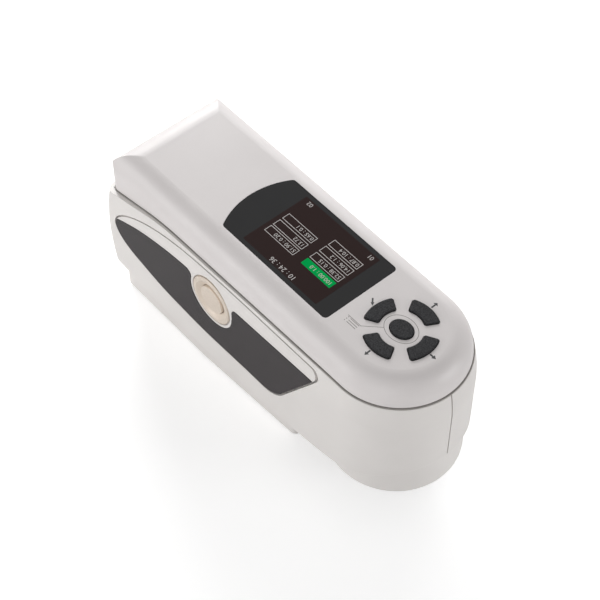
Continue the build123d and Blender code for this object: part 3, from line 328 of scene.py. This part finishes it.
def barium_coating():
    """White sphere coating of pressed powder: no gloss at all, a chalky surface."""
    material, shader, place = surface("barium_coating", {"IOR": 1.3, "Roughness": 0.95})
    chalk = grain(material, place, 0.5, 4.0)
    tint(material, shader, chalk, "#EFEEE9", "#F7F6F2")
    relief(material, shader, chalk, 0.03)
    return material


def plated_steel():
    """Cold-formed steel, nickel plated: bright grey metal with fine lines from the tumbling."""
    material, shader, place = surface("plated_steel", {"Metallic": 1.0})
    worn = grain(material, place, 0.6, 4.0)
    tint(material, shader, worn, "#A9AAAC", "#C3C4C6")
    roughen(material, shader, worn, 0.22, 0.36)
    return material


def plated_brass():
    """Stamped brass contact with a thin gold flash: warm metal, slightly brushed."""
    material, shader, place = surface("plated_brass", {"Metallic": 1.0})
    worn = grain(material, place, 0.5, 4.0)
    tint(material, shader, worn, "#A98C50", "#C7AA6C")
    roughen(material, shader, worn, 0.2, 0.34)
    return material


def board_lacquer():
    """Glass-fibre board under green solder lacquer: its 0.5 mm weave shows faintly."""
    material, shader, place = surface("board_lacquer", {"IOR": 1.55, "Roughness": 0.3})
    weave = checks(material, place, 0.5, "#17492E", "#1F5638")
    link(material, weave.outputs["Color"], shader, "Base Color")
    relief(material, shader, weave.outputs["Fac"], 0.01)
    return material


def cell_foam(name, dark, light):
    """Closed-cell sealing foam: matt, with open pores of about 0.3 mm that make it look dusty."""
    material, shader, place = surface(name, {"IOR": 1.45, "Roughness": 0.85})
    pores = cells(material, place, 0.35)
    tint(material, shader, pores, dark, light, 0.1, 0.7)
    relief(material, shader, pores, 0.05)
    return material


def adhesive_tape():
    """Black polyester tape: thin, smooth and half matt, slightly rippled."""
    material, shader, place = surface("adhesive_tape", {"IOR": 1.5, "Roughness": 0.45})
    ripple = grain(material, place, 4.0)
    tint(material, shader, ripple, "#171718", "#212123")
    relief(material, shader, ripple, 0.03)
    return material


def panel_glass():
    """The display module's glass and steel frame: nearly black, glossy."""
    material, shader, place = surface("panel_glass", {"IOR": 1.5})
    film = grain(material, place, 6.0)
    tint(material, shader, film, "#141011", "#1C1718")
    roughen(material, shader, film, 0.1, 0.18)
    return material


def shrink_wrap():
    """Blue PVC sleeve shrunk over two cells: glossy, with slight waves along the cells."""
    material, shader, place = surface("shrink_wrap", {"IOR": 1.53, "Roughness": 0.22})
    stretched = add_node(
        material, "ShaderNodeMapping", {"Scale": (0.2, 1.0, 1.0)}, {"Vector": place}
    )
    waves = grain(material, stretched.outputs[0], 3.0)
    tint(material, shader, waves, "#2F4F7C", "#3C5F90")
    relief(material, shader, waves, 0.15)
    return material


def foot_rubber():
    """Die-cut rubber foot in grey: matt, with a fine pebbled face."""
    material, shader, place = surface("foot_rubber", {"IOR": 1.5, "Roughness": 0.75})
    pebble = grain(material, place, 0.5, 3.0)
    tint(material, shader, pebble, "#7E7C79", "#969490")
    relief(material, shader, pebble, 0.05)
    return material


def printing_ink(name, dark, light):
    """Pad-printed ink: a flat tone, slightly broken by the grain under it."""
    material, shader, place = surface(name, {"IOR": 1.5, "Roughness": 0.5})
    broken = grain(material, place, 0.3)
    tint(material, shader, broken, dark, light)
    return material


def studio_floor():
    """Seamless paper: matt and white, lifted for the camera alone by painted light that is weaker
    near the object and full far from it, as an overexposed sweep looks.
    """
    settings = {"IOR": 1.3, "Roughness": 1.0, "Emission Color": white}
    material, shader, place = surface("studio_floor", settings)
    length = {"operation": "LENGTH"}
    distance = add_node(material, "ShaderNodeVectorMath", length, {0: place}).outputs["Value"]
    # Painted light for the camera: a glow of 0.4 within 0.25 m of the middle, rising to 1.0 at
    # 0.9 m.
    painted_glow = between(material, distance, 0.4, 1.0, mm(250), mm(900))
    seen_by = add_node(material, "ShaderNodeLightPath").outputs["Is Camera Ray"]
    shown = add_node(material, "ShaderNodeMath", {"operation": "MULTIPLY"}, {0: painted_glow, 1: seen_by})
    link(material, shown.outputs[0], shader, "Emission Strength")
    tint(material, shader, grain(material, place, 3.0), "#F6F6F6", "#FAFAFA")
    return material


cover_lacquer = satin_lacquer("cover_lacquer", "#D8D3D2", "#DDD8D7")
shell_lacquer = satin_lacquer("shell_lacquer", "#DDD9D6", "#E2DEDB")
champagne = champagne_lacquer()
grip = grip_moulding()
acrylic = smoked_acrylic()
silicone = silicone_rubber()
black_abs = grained_abs("black_abs", "#1E1E1F", "#2C2C2D")
cap_abs = grained_abs("cap_abs", "#313132", "#434344")
ceramic = glazed_ceramic()
sphere_coat = barium_coating()
steel = plated_steel()
brass = plated_brass()
board = board_lacquer()
foam = cell_foam("black_foam", "#161617", "#2E2E30")
# The case seal: a grey foam strip over the rim top. Its mid-grey is painted shade that stands for
# the shaded gap between cover and housing.
gap_shade_seal = cell_foam("grey_foam_gap_shade", "#8F8B87", "#9D9995")
tape = adhesive_tape()
glass = panel_glass()
wrap = shrink_wrap()
rubber = foot_rubber()

finishes = {
    cover_lacquer: ["top_cover"],
    shell_lacquer: [
        "housing_left",
        "housing_right",
        "side_panel_left",
        "side_panel_right",
        "base_block",
        "head_collar",
        "battery_door",
    ],
    champagne: ["test_bezel", "test_button"],
    grip: ["grip_left", "grip_right"],
    acrylic: ["display_lens"],
    silicone: ["key_centre", "key_front", "key_left", "key_rear", "key_right"],
    black_abs: [
        "measuring_nose",
        "port_panel",
        "dc_jack",
        "test_switch",
        "power_switch",
        "switch_knob",
    ],
    cap_abs: ["calibration_cap"],
    ceramic: ["white_tile"],
    sphere_coat: ["sphere_lower", "sphere_upper"],
    steel: [
        "key_domes",
        "board_screws",
        "case_screws",
        "switch_screws",
        "head_screws",
        "usb_port",
    ],
    brass: ["battery_contacts"],
    board: [
        "main_board",
        "key_board",
        "switch_board",
        "sensor_board",
        "led_board",
        "port_board",
    ],
    foam: ["display_gasket", "nose_ring"],
    gap_shade_seal: ["case_seal"],
    tape: ["lens_tape"],
    glass: ["display_panel"],
    wrap: ["battery"],
    rubber: ["rubber_feet"],
}
for material, names in finishes.items():
    for name in names:
        for material_slot in nodes[name].material_slots:
            material_slot.material = material


# Tools for the new pieces
def pick(piece):
    """Makes this the only selected object."""
    bpy.ops.object.select_all(action="DESELECT")
    piece.select_set(True)
    bpy.context.view_layer.objects.active = piece


def settle(piece):
    """Puts the piece's place, turn and scale into its mesh."""
    pick(piece)
    bpy.ops.object.transform_apply(location=True, rotation=True, scale=True)


def edit(piece):
    """Opens the piece for editing with nothing in it selected."""
    pick(piece)
    bpy.ops.object.mode_set(mode="EDIT")
    bpy.ops.mesh.select_all(action="DESELECT")


def close():
    """Ends editing."""
    bpy.ops.object.mode_set(mode="OBJECT")


def round_corners(piece, radius, segments):
    """Rounds the corners of a flat piece."""
    edit(piece)
    bpy.ops.mesh.select_all(action="SELECT")
    bpy.ops.mesh.bevel(offset=mm(radius), segments=segments, affect="VERTICES")
    close()


def keep_outline(piece, width):
    """Cuts a flat piece out up to an outline this many millimetres wide."""
    edit(piece)
    bpy.ops.mesh.select_all(action="SELECT")
    bpy.ops.mesh.inset(thickness=mm(width))
    bpy.ops.mesh.delete(type="FACE")
    close()


def select_edges(piece, test):
    """Selects the edges of an open piece whose middle passes the test."""
    bpy.ops.object.mode_set(mode="OBJECT")
    places = piece.data.vertices
    for edge in piece.data.edges:
        a, b = (places[i].co for i in edge.vertices)
        edge.select = test((a + b) / 2)
    bpy.ops.object.mode_set(mode="EDIT")
    bpy.ops.mesh.select_mode(type="EDGE")


def plate(name, x_span, y_span, height):
    """A flat face between two X and two Y places, at this height, all in millimetres."""
    middle_place = mm(sum(x_span) / 2, sum(y_span) / 2, height)
    bpy.ops.mesh.primitive_plane_add(size=1, location=middle_place)
    piece = bpy.context.object
    piece.name = name
    piece.scale = (mm(abs(x_span[1] - x_span[0])), mm(abs(y_span[1] - y_span[0])), 1)
    settle(piece)
    return piece


def thicken(piece, thickness):
    """Gives a flat piece its thickness, upwards."""
    pick(piece)
    wall = piece.modifiers.new("thickness", "SOLIDIFY")
    wall.thickness = mm(thickness)
    wall.offset = 1
    bpy.ops.object.modifier_apply(modifier=wall.name)


def join(pieces, name):
    """Joins pieces into one."""
    bpy.ops.object.select_all(action="DESELECT")
    for piece in pieces:
        piece.select_set(True)
    bpy.context.view_layer.objects.active = pieces[0]
    if len(pieces) > 1:
        bpy.ops.object.join()
    pieces[0].name = name
    return pieces[0]


def dress(piece, material, body):
    """Gives a finished piece its material and its body."""
    piece.data.materials.clear()
    piece.data.materials.append(material)
    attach(piece, body)


# The picture on the screen. Its right is -X and its top is -Y.
ink_thickness = 0.02
lens_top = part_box("display_lens")[1].z * 1000
screen_x = (-14.5, 35.5)
screen_y = (-18.7, 18.6)
picture_height = lens_top + 0.03
mark_height = lens_top + 0.05
rows = [(-8.6, -4.4), (-3.55, 0.7), (1.9, 6.15), (7.2, 11.4)]
front_column = (13.4, 32.2)
rear_column = (-11.5, 8.0)
outline_width = 0.3
screen_setback = 0.5
screen_corner = 0.5

plate_x = (screen_x[0] + screen_setback, screen_x[1] - screen_setback)
screen = plate("screen_plate", plate_x, screen_y, lens_top)
round_corners(screen, screen_corner, 4)
thicken(screen, picture_height - lens_top)
dress(screen, lit_panel(), "case")


def frame_box(x_span, y_span):
    """A thin rectangular outline drawn on the screen."""
    box = plate("box", x_span, y_span, picture_height)
    keep_outline(box, outline_width)
    thicken(box, mark_height - picture_height)
    return box


def bar(x_span, y_span):
    """A solid bar with small rounded corners drawn on the screen."""
    block = plate("bar", x_span, y_span, picture_height)
    round_corners(block, 0.2, 3)
    thicken(block, mark_height - picture_height)
    return block


def figures(text, place, size, turn, thickness=ink_thickness, align="CENTER"):
    """Plain figures as a thin mesh, centred on their place or starting there."""
    bpy.ops.object.text_add(location=mm(*place), rotation=turn)
    piece = bpy.context.object
    piece.data.body = text
    piece.data.size = mm(size)
    piece.data.align_x = align
    piece.data.align_y = "CENTER"
    piece.data.resolution_u = 3
    pick(piece)
    bpy.ops.object.convert(target="MESH")
    piece = bpy.context.object
    settle(piece)
    thicken(piece, thickness)
    return piece


light_mark = lit_mark("light_mark", "#BCB8B6", "#D6D2D0")
green_mark = lit_mark("green_mark", "#05A04C", "#08AC55")
upside_down = (0, 0, math.pi)

boxes = [frame_box(front_column, row) for row in rows[1:]]
boxes += [frame_box(rear_column, row) for row in rows[:3]]
dress(join(boxes, "screen_boxes"), light_mark, "case")
dress(join([bar(front_column, rows[0])], "screen_green_bar"), green_mark, "case")

margin = 0.9
reading_size = 2.9
title_size = 3.6
corner_size = 3.2
readings = [
    ("52.38 : 0.15", front_column, rows[1]),
    ("14.06 : 1.2", front_column, rows[2]),
    ("0.87 : 10.4", front_column, rows[3]),
    ("51.90 : 0.20", rear_column, rows[0]),
    ("13.72", rear_column, rows[1]),
    ("0.65 : 0.1", rear_column, rows[2]),
]
digits = []
for text, column, row in readings:
    start = (column[1] - margin, sum(row) / 2, picture_height)
    digits.append(figures(text, start, reading_size, upside_down, align="LEFT"))
title = [figures("10 : 24 : 36", (10.8, -16.7, picture_height), title_size, upside_down)]
corners = [
    figures(text, (x, 16.6, picture_height), corner_size, upside_down)
    for text, x in (("01", 31.2), ("02", -9.4))
]
dress(join(digits + title + corners, "screen_figures"), light_mark, "case")
green_place = (front_column[1] - margin, sum(rows[0]) / 2, mark_height)
on_green = [figures("100.00 : 1.0", green_place, reading_size, upside_down, 0.01, "LEFT")]
dress(join(on_green, "screen_green_figures"), light_mark, "case")

# The prints round the keys, drawn above the cover and laid down on it
cover = nodes["top_cover"]
print_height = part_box("top_cover")[1].z * 1000 + 1.0


def lay_down(piece):
    """Drops a flat print straight down on the cover and gives it its thickness."""
    pick(piece)
    wrap_down = piece.modifiers.new("on_cover", "SHRINKWRAP")
    wrap_down.target = cover
    wrap_down.wrap_method = "PROJECT"
    wrap_down.use_project_z = True
    wrap_down.use_negative_direction = True
    wrap_down.use_positive_direction = False
    bpy.ops.object.modifier_apply(modifier=wrap_down.name)
    thicken(piece, ink_thickness)


def arrow(tail, tip, head_share, shaft_width, head_width):
    """A flat arrow: a shaft, widened to a head that closes in a point."""
    point_share = 0.04
    length = math.dist(tail, tip)
    shaft = length * (1 - head_share)
    piece = plate("arrow", (0, shaft), (-shaft_width / 2, shaft_width / 2), 0)
    edit(piece)
    select_edges(piece, lambda middle_point: middle_point.x > mm(shaft) * 0.99)
    bpy.ops.mesh.extrude_edges_move()
    bpy.ops.transform.resize(
        value=(1, head_width / shaft_width, 1), center_override=(mm(shaft), 0, 0)
    )
    head_reach = (mm(length - shaft), 0, 0)
    bpy.ops.mesh.extrude_edges_move(TRANSFORM_OT_translate={"value": head_reach})
    bpy.ops.transform.resize(value=(1, point_share, 1), center_override=(mm(length), 0, 0))
    bpy.ops.mesh.select_all(action="SELECT")
    bpy.ops.mesh.subdivide(number_cuts=5)
    close()
    angle = math.atan2(tip[1] - tail[1], tip[0] - tail[0])
    piece.rotation_euler = (0, 0, angle)
    piece.location = mm(tail[0], tail[1], print_height)
    settle(piece)
    lay_down(piece)
    return piece


arrows = [
    arrow((48.4, 2.1), (51.35, -0.85), 0.45, 0.75, 1.6),
    arrow((68.65, 17.6), (68.6, 21.2), 0.34, 0.8, 2.6),
    arrow((68.4, -17.4), (68.5, -20.8), 0.45, 0.8, 2.2),
    arrow((86.15, 0.2), (89.6, 0.25), 0.5, 0.8, 2.2),
]
black_ink = printing_ink("black_ink", "#262627", "#343436")
grey_ink = printing_ink("grey_ink", "#77736F", "#86827E")
dress(join(arrows, "key_arrows"), black_ink, "case")


def stroke(start, end, width):
    """A thin straight printed line between two places, with rounded ends."""
    half = width / 2
    piece = plate("stroke", (-half, math.dist(start, end) + half), (-half, half), 0)
    round_corners(piece, width * 0.3, 2)
    piece.rotation_euler = (0, 0, math.atan2(end[1] - start[1], end[0] - start[0]))
    piece.location = mm(start[0], start[1], print_height)
    settle(piece)
    lay_down(piece)
    return piece


ring_middle = (68.7, 0)
ring_radii = (8.4, 6.7)
line_width = 0.25
list_rows = (-14.8, -13.65, -12.5)
bpy.ops.mesh.primitive_circle_add(
    vertices=96, radius=mm(1), fill_type="NGON", location=mm(*ring_middle, print_height)
)
ring = bpy.context.object
ring.scale = (*ring_radii, 1)
settle(ring)
keep_outline(ring, line_width)
lay_down(ring)
leader = [(48.4, -11.9), (56.2, -11.9), (63.1, -5.1)]
lines = [ring] + [stroke(start, end, line_width) for start, end in zip(leader, leader[1:])]
lines += [stroke((50.6, y), (55.8, y), 0.3) for y in list_rows]
lines += [stroke((49.2, y), (49.3, y), 0.4) for y in list_rows]
dress(join(lines, "key_lines"), grey_ink, "case")

# Plain figures by the power slider, on the rear panel
port_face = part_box("port_panel")[0].x * 1000
knob_low, knob_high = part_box("switch_knob")
marks_height = (knob_low.z + knob_high.z) / 2 * 1000 + 4.0
facing_rear = (math.radians(90), 0, math.radians(-90))
marks = [
    figures(text, (port_face, y, marks_height), 2.4, facing_rear, 0.03)
    for text, y in (("0", -2.2), ("1", 2.2))
]
dress(join(marks, "power_figures"), light_mark, "case")

# The floor
bpy.ops.mesh.primitive_plane_add(size=6, location=(0, 0, 0))
floor = bpy.context.object
floor.name = "floor"
floor.data.materials.append(studio_floor())
